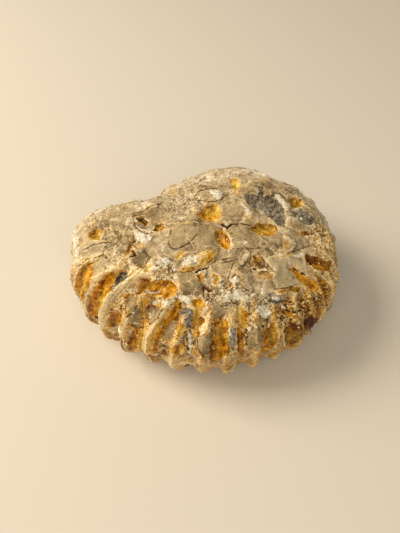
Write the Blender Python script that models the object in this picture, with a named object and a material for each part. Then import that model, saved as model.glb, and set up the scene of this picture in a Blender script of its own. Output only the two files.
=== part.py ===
"""Fossil ammonite in its matrix, lying on one flank.

Metres, +Z up. The origin is the bottom centre of the fossil's box, on the surface that it rests on.
+X runs along its longest extent, and the shell's broken mouth faces back (+Y) at the left end (-X).
Seen from above, the shell coils inwards counter-clockwise from its mouth: left, front, right, back.
"""

import math

import bmesh
import bpy
from mathutils import Vector, noise

MM = 0.001
TAU = math.tau

# Coil: a logarithmic spiral about a vertical axis, cut off at the broken mouth
COIL_AXIS = Vector((7.3 * MM, 6.8 * MM, 0.0))
MOUTH_RADIUS = 57.4 * MM
TIGHTNESS = 0.101  # the radius falls by this power of e for each radian inwards
MOUTH_ANGLE = math.radians(181.5)  # plan angle of the outer corner of the mouth
MOUTH_FACE_ANGLE = math.radians(114.8)  # plan angle that the broken face points to
MOUTH_FACE_DISTANCE = 29.4 * MM
MOUTH_REACH = math.radians(80)  # how far round from the mouth's corner the broken face goes
CORNER_ROUNDING = 15 * MM
NOTCH_ROUNDING = 4.8 * MM
FACE_REACH = math.radians(40)  # how far inwards from the corner the face's rounding is felt
FACE_LEAST_COSINE = 0.2  # beyond this slant from its own facing, the broken face recedes no further

# Places where the outline departs from the spiral: (plan angle, half width, outward distance)
OUTLINE_BULGES = (
    (math.radians(28), math.radians(10), -1.5 * MM),
    (math.radians(47), math.radians(22), -1.7 * MM),
    (math.radians(104), math.radians(22), -1.4 * MM),
    (math.radians(152), math.radians(18), -2.0 * MM),
    (math.radians(170), math.radians(11), 2.0 * MM),
    (math.radians(184), math.radians(10), -1.2 * MM),
    (math.radians(200), math.radians(14), 1.4 * MM),
    (math.radians(290), math.radians(7), -1.2 * MM),
    (math.radians(303), math.radians(14), 1.0 * MM),
    (math.radians(332), math.radians(18), 1.1 * MM),
)

# Section: a rounded box, higher above its widest level than below it
WIDEST_LEVEL = 17 * MM
TOP_LEVEL = 38 * MM
TOP_TILT = Vector((0.020, 0.027, 0.0))  # rise for each metre along X and Y
UNDERSIDE_DROP = 1.6 * MM  # how far the underside would reach below the table, were it not worn flat
SECTION_POWER = 2.7
FULLER_ABOVE, FULLER_BELOW = 0.7, 1.6  # added to the power beside the mouth, above and below the rim

# Ribs, by their angle in degrees inwards from the mouth: the first eighteen as found, the rest regular
FRONT_RIBS = (-8, 13, 25, 36, 46.5, 58, 68.5, 79, 89, 101, 110, 121, 131, 139.5, 147, 156, 166, 177)
RIBS_IN_ALL = 34
RIB_LEAN = math.radians(7)  # the ribs swing this far back from the rim to the flanks
RIB_DEPTHS = (
    (-12, 4.2), (20, 4.2), (70, 2.9), (98, 2.8), (108, 1.8), (122, 1.9), (150, 2.1), (318, 2.4),
)  # degrees inwards from the mouth, mm
CREST_POWER = 1.3  # 2 would be a round crest, and 1 a sharp one
RIB_UNEVENNESS = 0.3

# The section's angle runs from 0 at the top to 90 at the rim and 180 underneath.
# Edge of the matrix that hides the upper ribs: (degrees inwards from the mouth, section angle)
MATRIX_EDGE = (
    (-12, 90), (0, 58), (16, 50), (26, 40), (38, 34), (55, 40), (85, 42),
    (120, 47), (145, 50), (165, 57), (190, 76), (240, 88), (285, 84), (318, 110),
)
MATRIX_EDGE_WIDTH = 9
BEFORE_MOUTH = 40  # places up to this many degrees outside the mouth count as before it, not as far inside
MOUTH_RIBS_START = 3, 13  # degrees inwards from the mouth over which the ribs grow to full strength
LAST_RIBS_END = 292, 318  # and over which they run under the matrix in the notch
WORN_FLANK = 132, 148  # section angles over which the ribs fade on the underside
MOUTH_STARTS, MOUTH_ENDS = (-30, -8), (20, 70)  # degrees over which the fuller section comes and goes

# Marks on the upper side, by plan place: (x, y, half length, half width, degrees turned, height)
CALCITE_POCKETS = (
    (2.2, 6.6, 3.9, 3.8, 0, -1.5),
    (6.5, -5.4, 2.6, 4.4, 15, -1.1),
    (11.4, 21.4, 1.8, 2.0, 0, -0.9),
    (-38.1, 1.9, 2.6, 2.9, 0, -1.3),
    (20.7, -0.9, 5.2, 2.8, 12, -1.0),
    (33.5, 14.9, 2.8, 2.6, 0, -1.0),
    (-18.4, 2.4, 4.6, 3.0, -14, -1.3),
    (-24.2, -7.0, 2.0, 4.0, -20, -1.2),
    (33.9, -18.0, 6.6, 2.2, -24, -1.2),
    (-15.1, -21.6, 7.0, 2.2, 0, -1.2),
)
SHELL_SHARDS = (
    (-1.2, -14.2, 6.9, 2.1, 28, 1.7),
    (20.2, -16.8, 4.6, 4.6, 45, 1.0),
    (-25.1, -11.8, 9.0, 1.6, 38, 0.9),
)
MATRIX_PLATES = (
    (12.3, 6.6, 6.2, 5.6, 0, 0.8),
    (-6.5, -2.6, 6.0, 4.6, 0, 0.5),
    (25.6, -15.3, 4.4, 7.5, 0, 0.5),
    (-4.4, -21.4, 4.4, 4.8, 10, 0.7),
    (-18.9, 9.4, 3.6, 3.2, 0, 0.6),
)
LUMP_SIZE, LUMP_HEIGHT, LUMP_OCTAVES = 14 * MM, 0.9 * MM, 3
MARK_POWER = 3  # 2 would be an ellipse, and more is boxier
MARK_EDGE = 0.75, 1.15  # shares of a mark's half size between which it runs out
FRACTURE_SIZE = 11 * MM  # across a facet of the broken matrix
FRACTURE_SLOPE = 0.10
FRACTURE_STEP = 0.16  # width of the step between two facets, as a share of a facet
FACET_SPREAD = 7.0  # sets the facets' centres apart, so that no two share a slope

# Underside: the umbilicus, whose inner whorls step upwards along the spiral's seam
UMBILICUS = 0.38  # share of the radius
UMBILICUS_WALL = 0.09  # width of its wall, as a share of the radius
UMBILICUS_DEPTH = 6.2 * MM
UMBILICUS_RISE = 0.45  # share of the depth that is gained between the wall and the innermost whorl
SEAM_DEPTH = 2.2 * MM
INNERMOST_WHORL = 5.0 * MM  # further in, matrix fills the coil

# Mesh: columns to a rib, rows from pole to pole, and the faces kept of the fine mesh
COLUMNS_PER_RIB = 12
ROWS = 132
FACES_KEPT = 0.09
SHARP_ANGLE = math.radians(35)
CUTTER_SIZE = Vector((140 * MM, 140 * MM, 20 * MM))

MATRIX_GREY_BEIGE = (0.42, 0.35, 0.25, 1.0)


def smooth_step(low, high, value):
    share = min(max((value - low) / (high - low), 0.0), 1.0)
    return share * share * (3 - 2 * share)


def smooth_min(a, b, width):
    share = min(max(0.5 + 0.5 * (b - a) / width, 0.0), 1.0)
    return b + (a - b) * share - width * share * (1 - share)


def smooth_max(a, b, width):
    return -smooth_min(-a, -b, width)


def along(points, value):
    """Value of a line through (place, height) points, straight between them."""
    for (x0, y0), (x1, y1) in zip(points, points[1:]):
        if value <= x1:
            return y0 + (y1 - y0) * (value - x0) / (x1 - x0)
    return points[-1][1]


def spiral_radius(turn):
    """Radius of the shell at an angle inwards from its mouth."""
    return MOUTH_RADIUS * math.exp(-TIGHTNESS * turn)


def outline_radius(angle):
    """Radius of the fossil at a plan angle: the outer whorl, or the whorl inside it past the mouth."""
    turn = (angle - MOUTH_ANGLE + MOUTH_REACH) % TAU - MOUTH_REACH
    outer, inner = spiral_radius(turn), spiral_radius(turn + TAU)
    if turn < FACE_REACH:
        broken_face = MOUTH_FACE_DISTANCE / max(math.cos(angle - MOUTH_FACE_ANGLE), FACE_LEAST_COSINE)
        outer = smooth_min(outer, broken_face, CORNER_ROUNDING)
    radius = smooth_max(inner, outer, NOTCH_ROUNDING)
    for centre, half_width, distance in OUTLINE_BULGES:
        off = abs((angle - centre + math.pi) % TAU - math.pi)
        radius += distance * (1 - smooth_step(0, half_width, off))
    return radius


def rib_turns():
    """Angles of all rib crests, in degrees inwards from the mouth, from the first to the first again."""
    last_found = FRONT_RIBS[-1]
    spare = RIBS_IN_ALL - (len(FRONT_RIBS) - 1)
    step = (FRONT_RIBS[0] + 360 - last_found) / spare
    return list(FRONT_RIBS) + [last_found + step * (i + 1) for i in range(spare)]


RIB_TURNS = rib_turns()


def turn_of_rib(number):
    """Angle inwards from the mouth of a rib number that may lie between two ribs."""
    whole = min(int(number), RIBS_IN_ALL - 1)
    return RIB_TURNS[whole] + (RIB_TURNS[whole + 1] - RIB_TURNS[whole]) * (number - whole)


def past_mouth(turn):
    """The same turn in degrees, counted from a little before the mouth."""
    return (turn + BEFORE_MOUTH) % 360 - BEFORE_MOUTH


def nearness_to_mouth(turn):
    """1 beside the mouth's outer corner, and 0 further round the whorl and in the notch."""
    past = past_mouth(turn)
    return smooth_step(*MOUTH_STARTS, past) * (1 - smooth_step(*MOUTH_ENDS, past))


def bareness(turn, section):
    """How far the ribs stand free, from 0 to 1, at degrees inwards from the mouth and round the section."""
    past = past_mouth(turn)
    edge = along(MATRIX_EDGE, past)
    bare = smooth_step(edge, edge + MATRIX_EDGE_WIDTH, section) * (1 - smooth_step(*WORN_FLANK, section))
    return bare * smooth_step(*MOUTH_RIBS_START, past) * (1 - smooth_step(*LAST_RIBS_END, past))


def mark_height(spot):
    """Height of the pockets, shards and plates at a plan place on the upper side."""
    height = 0.0
    for x, y, half_length, half_width, degrees, rise in CALCITE_POCKETS + SHELL_SHARDS + MATRIX_PLATES:
        east, north = spot.x / MM - x, spot.y / MM - y
        if abs(east) + abs(north) > 2 * (half_length + half_width):
            continue
        turn = math.radians(degrees)
        lengthwise = (east * math.cos(turn) + north * math.sin(turn)) / half_length
        crosswise = (north * math.cos(turn) - east * math.sin(turn)) / half_width
        off = (abs(lengthwise) ** MARK_POWER + abs(crosswise) ** MARK_POWER) ** (1 / MARK_POWER)
        height += rise * MM * (1 - smooth_step(*MARK_EDGE, off))
    return height


def fracture_height(spot):
    """Height of the broken matrix, whose facets each slope their own way."""
    place = spot / FRACTURE_SIZE
    distances, centres = noise.voronoi(place)
    heights = []
    for centre in centres[:2]:
        slope = noise.cell_vector(centre * FACET_SPREAD) * 2 - Vector((1.0, 1.0, 1.0))
        heights.append(FRACTURE_SLOPE * FRACTURE_SIZE * slope.dot(place - centre))
    own, other = heights
    return own + (other - own) * (1 - smooth_step(0, FRACTURE_STEP, distances[1] - distances[0])) / 2


def inner_whorl_height(angle, distance):
    """Height of the inner whorls above the outer flank, at a plan angle and a distance from the axis."""
    turn = (angle - MOUTH_ANGLE) % TAU
    turns_in = math.log(MOUTH_RADIUS / max(distance, INNERMOST_WHORL)) / TIGHTNESS - turn
    bulge = math.sin(math.pi * (turns_in / TAU % 1.0))
    bulge *= smooth_step(INNERMOST_WHORL, 2 * INNERMOST_WHORL, distance)
    depth = UMBILICUS_DEPTH * (1 - UMBILICUS_RISE * distance / (UMBILICUS * MOUTH_RADIUS))
    return depth - SEAM_DEPTH * bulge


def fossil_point(rib, polar):
    """Point of the surface at a rib number round the coil and a polar angle from the top."""
    turn_degrees = turn_of_rib(rib)
    out, up = math.sin(polar), math.cos(polar)
    mouth_side = nearness_to_mouth(turn_degrees)
    power = SECTION_POWER + (FULLER_ABOVE if up > 0 else FULLER_BELOW) * mouth_side
    fit = (abs(out) ** power + abs(up) ** power) ** (-1 / power)
    share, rise = out * fit, up * fit

    angle = MOUTH_ANGLE + math.radians(turn_degrees) + RIB_LEAN * (1 - share**2)
    radius = outline_radius(angle)
    way = Vector((math.cos(angle), math.sin(angle), 0.0))
    spot = COIL_AXIS + way * (radius * share)

    # The ribs stand between hollows, which fade under the matrix above and where the flank is worn
    section = math.degrees(polar)
    past = past_mouth(turn_degrees)
    depth = along(RIB_DEPTHS, past) * MM
    bare = bareness(turn_degrees, section)
    hollow = depth * bare * abs(math.sin(math.pi * rib)) ** CREST_POWER
    hollow *= 1 + RIB_UNEVENNESS * noise.noise(Vector((rib, rise, 0.0)))
    outwards = way * share ** (SECTION_POWER - 1)
    outwards.z = math.copysign(abs(rise) ** (SECTION_POWER - 1), rise)
    outwards.normalize()

    if rise > 0:
        top = TOP_LEVEL + TOP_TILT.dot(spot)
        spot.z = WIDEST_LEVEL + (top - WIDEST_LEVEL) * rise
    else:
        spot.z = WIDEST_LEVEL + (WIDEST_LEVEL + UNDERSIDE_DROP) * rise
    lump = LUMP_HEIGHT * noise.fractal(spot / LUMP_SIZE, 1.0, 2.0, LUMP_OCTAVES)
    if rise > 0:
        lump += mark_height(spot)
    umbilicus = 0.0 if rise > 0 else 1 - smooth_step(UMBILICUS, UMBILICUS + UMBILICUS_WALL, share)
    lump += fracture_height(spot) * (1 - bare) * (1 - umbilicus)
    spot += outwards * (lump - hollow)
    spot.z += umbilicus * inner_whorl_height(angle, radius * share)
    return spot


def add_fossil():
    """The whole fossil: a fine sphere drawn out to the ammonite's form, and thinned to flat facets."""
    columns = RIBS_IN_ALL * COLUMNS_PER_RIB
    bm = bmesh.new()
    bmesh.ops.create_uvsphere(bm, u_segments=columns, v_segments=ROWS, radius=1.0)
    for vert in bm.verts:
        rib = (math.atan2(vert.co.y, vert.co.x) % TAU) / TAU * RIBS_IN_ALL
        polar = math.acos(max(min(vert.co.z, 1.0), -1.0))
        vert.co = fossil_point(rib, polar)
    mesh = bpy.data.meshes.new("ammonite")
    bm.to_mesh(mesh)
    bm.free()
    mesh.shade_smooth()
    mesh.set_sharp_from_angle(angle=SHARP_ANGLE)
    fossil = add_to_collection(bpy.data.objects.new("ammonite", mesh), "fossil_ammonite")
    thin = fossil.modifiers.new("facets", "DECIMATE")
    thin.ratio = FACES_KEPT
    return fossil


def add_to_collection(thing, name):
    collection = bpy.data.collections.new(name)
    bpy.context.scene.collection.children.link(collection)
    collection.objects.link(thing)
    return thing


def cut_worn_flat(fossil):
    """Cut everything below the table's level off the underside, where the flank is worn flat."""
    bm = bmesh.new()
    bmesh.ops.create_cube(bm, size=1.0)
    bmesh.ops.scale(bm, vec=CUTTER_SIZE, verts=bm.verts)
    bmesh.ops.translate(bm, vec=(0.0, 0.0, -CUTTER_SIZE.z / 2), verts=bm.verts)
    mesh = bpy.data.meshes.new("table_side")
    bm.to_mesh(mesh)
    bm.free()
    cutter = add_to_collection(bpy.data.objects.new("table_side", mesh), "cutters")
    cutter.hide_render = True
    cutter.display_type = "WIRE"
    cut = fossil.modifiers.new("worn_flat", "BOOLEAN")
    cut.operation = "DIFFERENCE"
    cut.solver = "EXACT"
    cut.object = cutter


def add_stone_material(fossil):
    stone = bpy.data.materials.new("sandy_limestone")
    stone.use_nodes = True
    surface = stone.node_tree.nodes["Principled BSDF"]
    surface.inputs["Base Color"].default_value = MATRIX_GREY_BEIGE
    surface.inputs["Roughness"].default_value = 0.85
    surface.inputs["Metallic"].default_value = 0.0
    stone.diffuse_color = MATRIX_GREY_BEIGE
    fossil.data.materials.append(stone)


for old in list(bpy.data.objects):
    bpy.data.objects.remove(old, do_unlink=True)
ammonite = add_fossil()
cut_worn_flat(ammonite)
add_stone_material(ammonite)
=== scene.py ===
import math

import bmesh
import bpy
import numpy as np
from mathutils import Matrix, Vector, noise


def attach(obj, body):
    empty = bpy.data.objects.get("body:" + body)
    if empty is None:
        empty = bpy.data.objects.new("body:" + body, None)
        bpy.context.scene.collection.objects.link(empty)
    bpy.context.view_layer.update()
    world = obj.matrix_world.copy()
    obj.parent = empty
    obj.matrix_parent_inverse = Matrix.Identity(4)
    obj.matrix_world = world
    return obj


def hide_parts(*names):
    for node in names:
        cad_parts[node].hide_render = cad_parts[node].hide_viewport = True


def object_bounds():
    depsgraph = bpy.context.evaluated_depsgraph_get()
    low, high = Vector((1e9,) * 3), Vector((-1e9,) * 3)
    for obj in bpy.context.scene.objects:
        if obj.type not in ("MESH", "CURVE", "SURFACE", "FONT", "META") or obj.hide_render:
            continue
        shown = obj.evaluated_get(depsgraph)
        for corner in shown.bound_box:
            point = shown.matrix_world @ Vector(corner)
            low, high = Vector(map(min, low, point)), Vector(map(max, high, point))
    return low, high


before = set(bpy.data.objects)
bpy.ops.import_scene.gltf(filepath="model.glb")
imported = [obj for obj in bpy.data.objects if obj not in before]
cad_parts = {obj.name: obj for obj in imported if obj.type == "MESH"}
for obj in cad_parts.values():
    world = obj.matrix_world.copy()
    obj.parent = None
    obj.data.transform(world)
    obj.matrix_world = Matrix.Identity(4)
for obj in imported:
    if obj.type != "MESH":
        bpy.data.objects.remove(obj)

MM = 0.001
cad_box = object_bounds()

# The camera
# It looks down at the fossil as the photograph does. A place that is read off the photograph is a pixel of
# its 400 by 533 frame.

PHOTO_SIZE = 400, 533
PHOTO_CENTRE = np.array((204.0, 268.0))  # the pixel that the camera points at
CAMERA_ELEVATION = math.radians(50)
WIDTH_OF_VIEW = math.radians(36)
CAMERA_TARGET = np.array((0.4, -0.8, 17.0))  # mm
MM_PER_PIXEL = 0.37  # at the target

forward = np.array((0.0, math.cos(CAMERA_ELEVATION), -math.sin(CAMERA_ELEVATION)))
upward = np.array((0.0, math.sin(CAMERA_ELEVATION), math.cos(CAMERA_ELEVATION)))
focal_pixels = PHOTO_SIZE[0] / 2 / math.tan(WIDTH_OF_VIEW / 2)
eye = CAMERA_TARGET - forward * focal_pixels * MM_PER_PIXEL

camera = bpy.data.objects.new("camera", bpy.data.cameras.new("camera"))
bpy.context.scene.collection.objects.link(camera)
bpy.context.scene.camera = camera
camera.data.sensor_fit = "HORIZONTAL"
camera.data.angle = WIDTH_OF_VIEW
camera.data.clip_start = 10 * MM
camera.data.shift_x = (PHOTO_SIZE[0] / 2 - PHOTO_CENTRE[0]) / PHOTO_SIZE[0]
camera.data.shift_y = (PHOTO_CENTRE[1] - PHOTO_SIZE[1] / 2) / PHOTO_SIZE[0]
camera.location = Vector(eye) * MM
camera.rotation_euler = Vector(forward).to_track_quat("-Z", "Y").to_euler()


def in_photo(points):
    """The pixel at which the camera sees each point, and the point's distance along its axis in mm."""
    from_eye = points - eye
    distance = from_eye @ forward
    across = PHOTO_CENTRE[0] + focal_pixels * from_eye[:, 0] / distance
    down = PHOTO_CENTRE[1] - focal_pixels * (from_eye @ upward) / distance
    return np.column_stack((across, down, distance))


# The fossil
# The shell of an ammonite, turned to stone and still joined to the sandy limestone that it lay in. Its form
# is the CAD solid's, on a grid fine enough for the broken facets, pits, chips and cracks of the real one.

SAME_PLACE = 0.01  # mm within which the solid's corners are one point
GRID = 0.54  # mm between two points of the surface
SOFTENING_ROUNDS = 5  # takes off the solid's flat facets
RIB_ROUNDS = 130  # evens the surface out as far as a rib is wide
RIB_SWING = 0.3, 0.55  # mm of relief between which the surface counts as ribbed

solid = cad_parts["ammonite"]
fossil = bpy.data.objects.new("fossil_ammonite", solid.data.copy())
bpy.context.scene.collection.objects.link(fossil)
loose = bmesh.new()
loose.from_mesh(fossil.data)
bmesh.ops.remove_doubles(loose, verts=loose.verts, dist=SAME_PLACE * MM)
loose.to_mesh(fossil.data)
loose.free()
grid = fossil.modifiers.new("grid", "REMESH")
grid.mode = "VOXEL"
grid.voxel_size = GRID * MM
fossil.data = bpy.data.meshes.new_from_object(fossil.evaluated_get(bpy.context.evaluated_depsgraph_get()))
fossil.modifiers.clear()

point_count = len(fossil.data.vertices)
points = np.zeros(point_count * 3, np.float32)
fossil.data.vertices.foreach_get("co", points)
points = points.reshape(-1, 3).astype(float) / MM
edges = np.zeros(len(fossil.data.edges) * 2, np.int32)
fossil.data.edges.foreach_get("vertices", edges)
edges = edges.reshape(-1, 2)
ends = np.concatenate((edges[:, 0], edges[:, 1]))
others = np.concatenate((edges[:, 1], edges[:, 0]))
neighbours = np.bincount(ends, minlength=point_count)


def evened(values, rounds):
    """Values of the points, each drawn halfway to its neighbours' mean, this many times over."""
    columns = [column.copy() for column in values.reshape(point_count, -1).T]
    for _ in range(rounds):
        columns = [(c + np.bincount(ends, c[others], point_count) / neighbours) / 2 for c in columns]
    return np.column_stack(columns).reshape(values.shape)


def surface_normals(places):
    """The fossil's normals, once its points lie at these places in mm."""
    fossil.data.vertices.foreach_set("co", (places * MM).astype(np.float32).ravel())
    fossil.data.update()
    normals = np.zeros(point_count * 3, np.float32)
    fossil.data.vertex_normals.foreach_get("vector", normals)
    return normals.reshape(-1, 3).astype(float)


def smooth_step(low, high, values):
    """From 0 at low to 1 at high, level at both ends."""
    share = np.clip((values - low) / (high - low), 0, 1)
    return share * share * (3 - 2 * share)


points = evened(points, SOFTENING_ROUNDS)
broad_form = evened(points, RIB_ROUNDS)
broad_normals = surface_normals(broad_form)
rib_relief = ((points - broad_form) * broad_normals).sum(1)
rib_relief -= evened(rib_relief, 2 * RIB_ROUNDS)  # mm, above 0 on a crest and below 0 in a hollow
rib_zone = smooth_step(*RIB_SWING, np.sqrt(evened(rib_relief**2, RIB_ROUNDS)))

# Marks of the surface
# Where calcite, crystals, white shell, smooth plates, pits and thin lines lie. Each is an outline of (x, y) or
# a stroke of (x, y, half width) in the photograph's pixels, laid on the surface that the camera sees there.

SEEN_NEAR = 2.5  # pixels round a mark's point in which the surface nearest to the camera carries it
SEEN_BEYOND = 1.0  # pixels more than the gap to the surface, for a point that lies off it
DEPTH_COUNTS = 0.35  # so that a stroke runs on a little over an edge, but not through to the far side
OUTLINE_SLACK = 1.0  # mm of counted depth that an outline's surface may leave its corners by
FAR_OUTSIDE = -50.0  # mm
TATTER_SIZE, TATTER = 2.3, 0.55  # mm: broken edges step in and out by this much
CENTRE_SPREAD = 7  # times a facet's centre, so that facets side by side draw different random numbers
RIPPLE_SIZE, RIPPLE = 1.1, 0.45  # mm
RIPPLE_SEED = 7  # without one, the ripples come out differently each time

# Calcite and its tone: 0 maroon, 0.3 brown, 0.5 rust, 0.75 gold, 1 pale yellow
CALCITE = {
    "block in the middle": (
        0.74, (199, 214.6), (204.8, 205.7), (213.8, 203), (219, 206.6), (220, 218.2), (214.6, 221.3), (203.9, 220),
    ),
    # Painted shade and light in part: the block's olive upper corner is darker as the shaded side of its recess, and
    # its foot brighter as the lit side
    "its olive corner": (0.42, (211, 208.5, 3), (215.5, 210, 3)),
    "its bright foot": (1.0, (204, 217, 1.5), (215, 218.5, 1.5)),
    "block below it": (
        0.5, (215, 231.6), (220.9, 229.8), (227, 236), (230.7, 245), (228.5, 249.5), (221.8, 246.8), (216.4, 238.8),
    ),
    "olive end of the block below": (0.5, (218, 233, 2.4)),
    "seam in the long shard": (0.92, (198.6, 261.5), (212, 252), (217, 252.5), (212.9, 259.3), (200.4, 266)),
    "lower lip of the shard": (0.66, (182, 270.4, 1.3), (190, 269, 1.6), (204, 265, 1.2)),
    "yellow grain at the back": (0.8, (229.4, 180), (237, 178.5), (239.6, 184.3), (238.8, 189), (232, 188.4)),
    "olive window on the left": (0.54, (88.7, 234), (93, 228.5), (100, 229), (102, 234), (99, 240), (91, 240)),
    "foot of the olive window": (0.72, (91.5, 238, 2)),
    "ring's right half": (0.46, (153.5, 231), (155.7, 224.8), (164, 223.6), (165.5, 228), (159.3, 232)),
    "ring's left half": (0.34, (135, 217), (143, 217), (149, 223.6), (146, 226), (139, 222)),
    "patch on the right": (0.52, (250, 229), (257, 224), (268, 223.5), (276.5, 228), (273, 234), (260, 236)),
    "its bright foot on the left": (0.85, (256, 233, 1.6), (264, 234, 1.6)),
    "olive patch at the back right": (0.52, (288.4, 199), (295, 197), (303, 201), (301, 207), (292, 208)),
    "rust beside the right crack": (0.36, (302, 232.5, 1.6), (308, 233.5, 2)),
    "triangle's top": (0.26, (254.5, 256.5, 2), (258, 260, 1.6)),
    "between the plates": (0.76, (175, 256.5), (183, 250.5), (186, 252.5), (178.5, 259.5)),
    "gold by the lilac plate": (0.36, (125, 255, 1.4), (130, 248, 2), (133, 241, 1.2)),
    "brown by the lilac plate": (0.2, (132, 250, 1.6), (133, 254, 1.4)),
    "first hollow": (
        0.68, (74.8, 285), (77, 275), (82, 266.5), (90, 260.5), (93.4, 263), (93, 273), (90, 284), (87, 291),
        (84.5, 298), (78, 297.5), (75, 292),
    ),
    "gold in the first hollow": (0.88, (77.5, 292, 2.6), (81, 284, 2.6), (88, 274, 2.4)),
    # Painted shadow: the dark end of the first hollow is the shade under the ridge's lip above it
    "dark end of the first hollow": (0.25, (79, 271.5, 1.8), (84, 265.5, 1.2)),
    "second hollow": (
        0.64, (88, 315), (87.4, 306), (90, 296), (95, 287), (103, 277), (112.9, 270.7), (116, 273.4), (111, 288),
        (106, 300), (100, 312), (95, 317),
    ),
    "gold in the second hollow": (0.88, (99, 313, 1.8), (98, 303, 2.8), (104, 292, 2)),
    "brown in the second hollow": (0.45, (96, 291, 1.8), (105, 280, 1.6)),
    "maroon foot of the second hollow": (0.3, (91, 310, 1), (92, 313, 0.8)),
    "third hollow": (0.52, (105.5, 322), (112, 312.7), (120, 312.5), (124, 320), (117, 326), (109.3, 329)),
    "rust in the third hollow": (0.6, (113, 321, 2), (120, 320, 1.8)),
    "fourth hollow": (0.44, (127, 349), (129, 335), (134.3, 327.9), (139, 328), (138, 345), (133, 351)),
    "gold in the fourth hollow": (0.9, (137, 349), (138.5, 332), (142.5, 326), (144.5, 333), (143.2, 350)),
    "stripe beside the fourth rib": (0.72, (143, 305, 1.6), (143.5, 327, 1.8)),
    "stripe of the fifth hollow": (
        0.62, (178, 301, 1.8), (175, 311, 2.6), (166.4, 324.3, 2.8), (157.5, 337.7, 2.8), (154, 351, 2.4),
    ),
    "flank of the fifth crest": (0.82, (171, 310, 1.6), (160, 324, 2.2), (151, 340, 2.4), (149, 352, 1.6)),
    "long patch above the ribs": (
        0.54, (138, 286), (146.8, 281.4), (159.3, 280.5), (170, 279.6), (176.3, 285), (176.5, 294), (169, 298.5),
        (154, 297.5), (142.5, 292.5),
    ),
    "gold in the long patch": (0.8, (155, 284.5, 1.6), (173, 289, 2)),
    "gold under its curl": (0.84, (148, 295, 1.4), (158, 296.5, 1.6), (172, 295.5, 1.4)),
    "patch under it": (0.8, (140.5, 303), (145, 296.6), (149, 301), (146, 306.4)),
    "start of the third ridge": (0.78, (147, 271, 2.4), (151, 266, 1.8)),
    "sixth hollow's head": (0.67, (191.5, 300), (199, 298), (205, 301), (204, 307), (198, 311), (193, 306)),
    "streak under the head": (0.6, (197, 311, 2), (195.5, 322, 2.2), (196, 334, 2.6)),
    "sixth hollow": (0.74, (176, 331), (180, 322), (184.5, 325), (184, 333), (179, 335)),
    "sixth hollow's foot": (0.75, (169, 350), (175.4, 344), (184.3, 346.6), (182.5, 353.8), (175.4, 357)),
    "seventh hollow": (
        0.54, (213.5, 341), (219.7, 322), (228.6, 322), (227.6, 334.8), (230, 348.7), (222.6, 357.6), (209.8, 361.5),
        (210, 350),
    ),
    "bright in the seventh hollow": (0.96, (223, 324, 2.2), (222, 335, 2.2)),
    "shade in the seventh hollow": (0.22, (225, 344, 2.4), (221, 353, 2)),
    "brown side of the seventh hollow": (0.24, (213, 350, 2.4), (210.5, 359, 2)),
    "eighth hollow's head": (0.78, (236, 308), (240, 304), (246, 311), (247, 324), (242, 328), (237, 318)),
    "eighth hollow": (0.38, (239.5, 330, 3), (241.5, 353, 3.6)),
    "ninth hollow": (0.44, (263.2, 341.8), (268.5, 324), (274, 321.5), (278, 335.8), (277, 344.7), (268, 347.7)),
    "tenth hollow": (0.38, (285, 345.7), (283, 330), (290.8, 323), (302.7, 325.9), (300.7, 337.8), (291.8, 346.7)),
    "eleventh hollow": (0.4, (308, 312, 2.4), (305, 322, 2.6)),
    "long patch on the right flank": (
        0.66, (288.4, 268.6), (293.8, 267.6), (306.6, 276.5), (317.5, 286.4), (316.5, 292.3), (309, 290),
        (296.8, 279.5),
    ),
    "rust by the right rim": (
        0.42, (303.2, 253), (317.5, 256.5), (330.8, 262.5), (330, 271), (321, 271.5), (307.5, 264),
    ),
    "bright in that rust": (0.64, (320, 265, 2.2), (327, 267.5, 2.2)),
    "rust below the shard": (0.56, (196.5, 274), (202, 273), (203.5, 281), (199, 282)),
    "olive below the shard": (0.56, (213.5, 276, 1.4), (218, 279, 1.8), (216, 283.5, 2.2)),
    "red spot below the shard": (0.06, (205, 287, 1.4), (209.5, 290.5, 1.9)),
    "spot below the chips": (0.62, (230, 285, 2.2)),
    "yellow spot": (0.96, (241, 299, 1.3), (241.5, 303, 1.3)),
    "olive on the lower right": (0.42, (291, 289, 2.2), (298, 290, 2.2)),
    "olive next to it": (0.5, (279, 291, 1.2), (286, 290.5, 1.2)),
    "rust under the right rim": (0.34, (322, 284, 1.8), (325, 296, 1.8)),
    # Partly painted shadow: dark calcite at the right foot, made darker for the shadow under the rim there
    "maroon at the right foot": (0.04, (303, 319), (312, 314), (318, 320), (313, 332), (305, 331)),
    "rust at the lower right": (0.3, (314, 300, 2), (318, 309, 1.8)),
}
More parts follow.
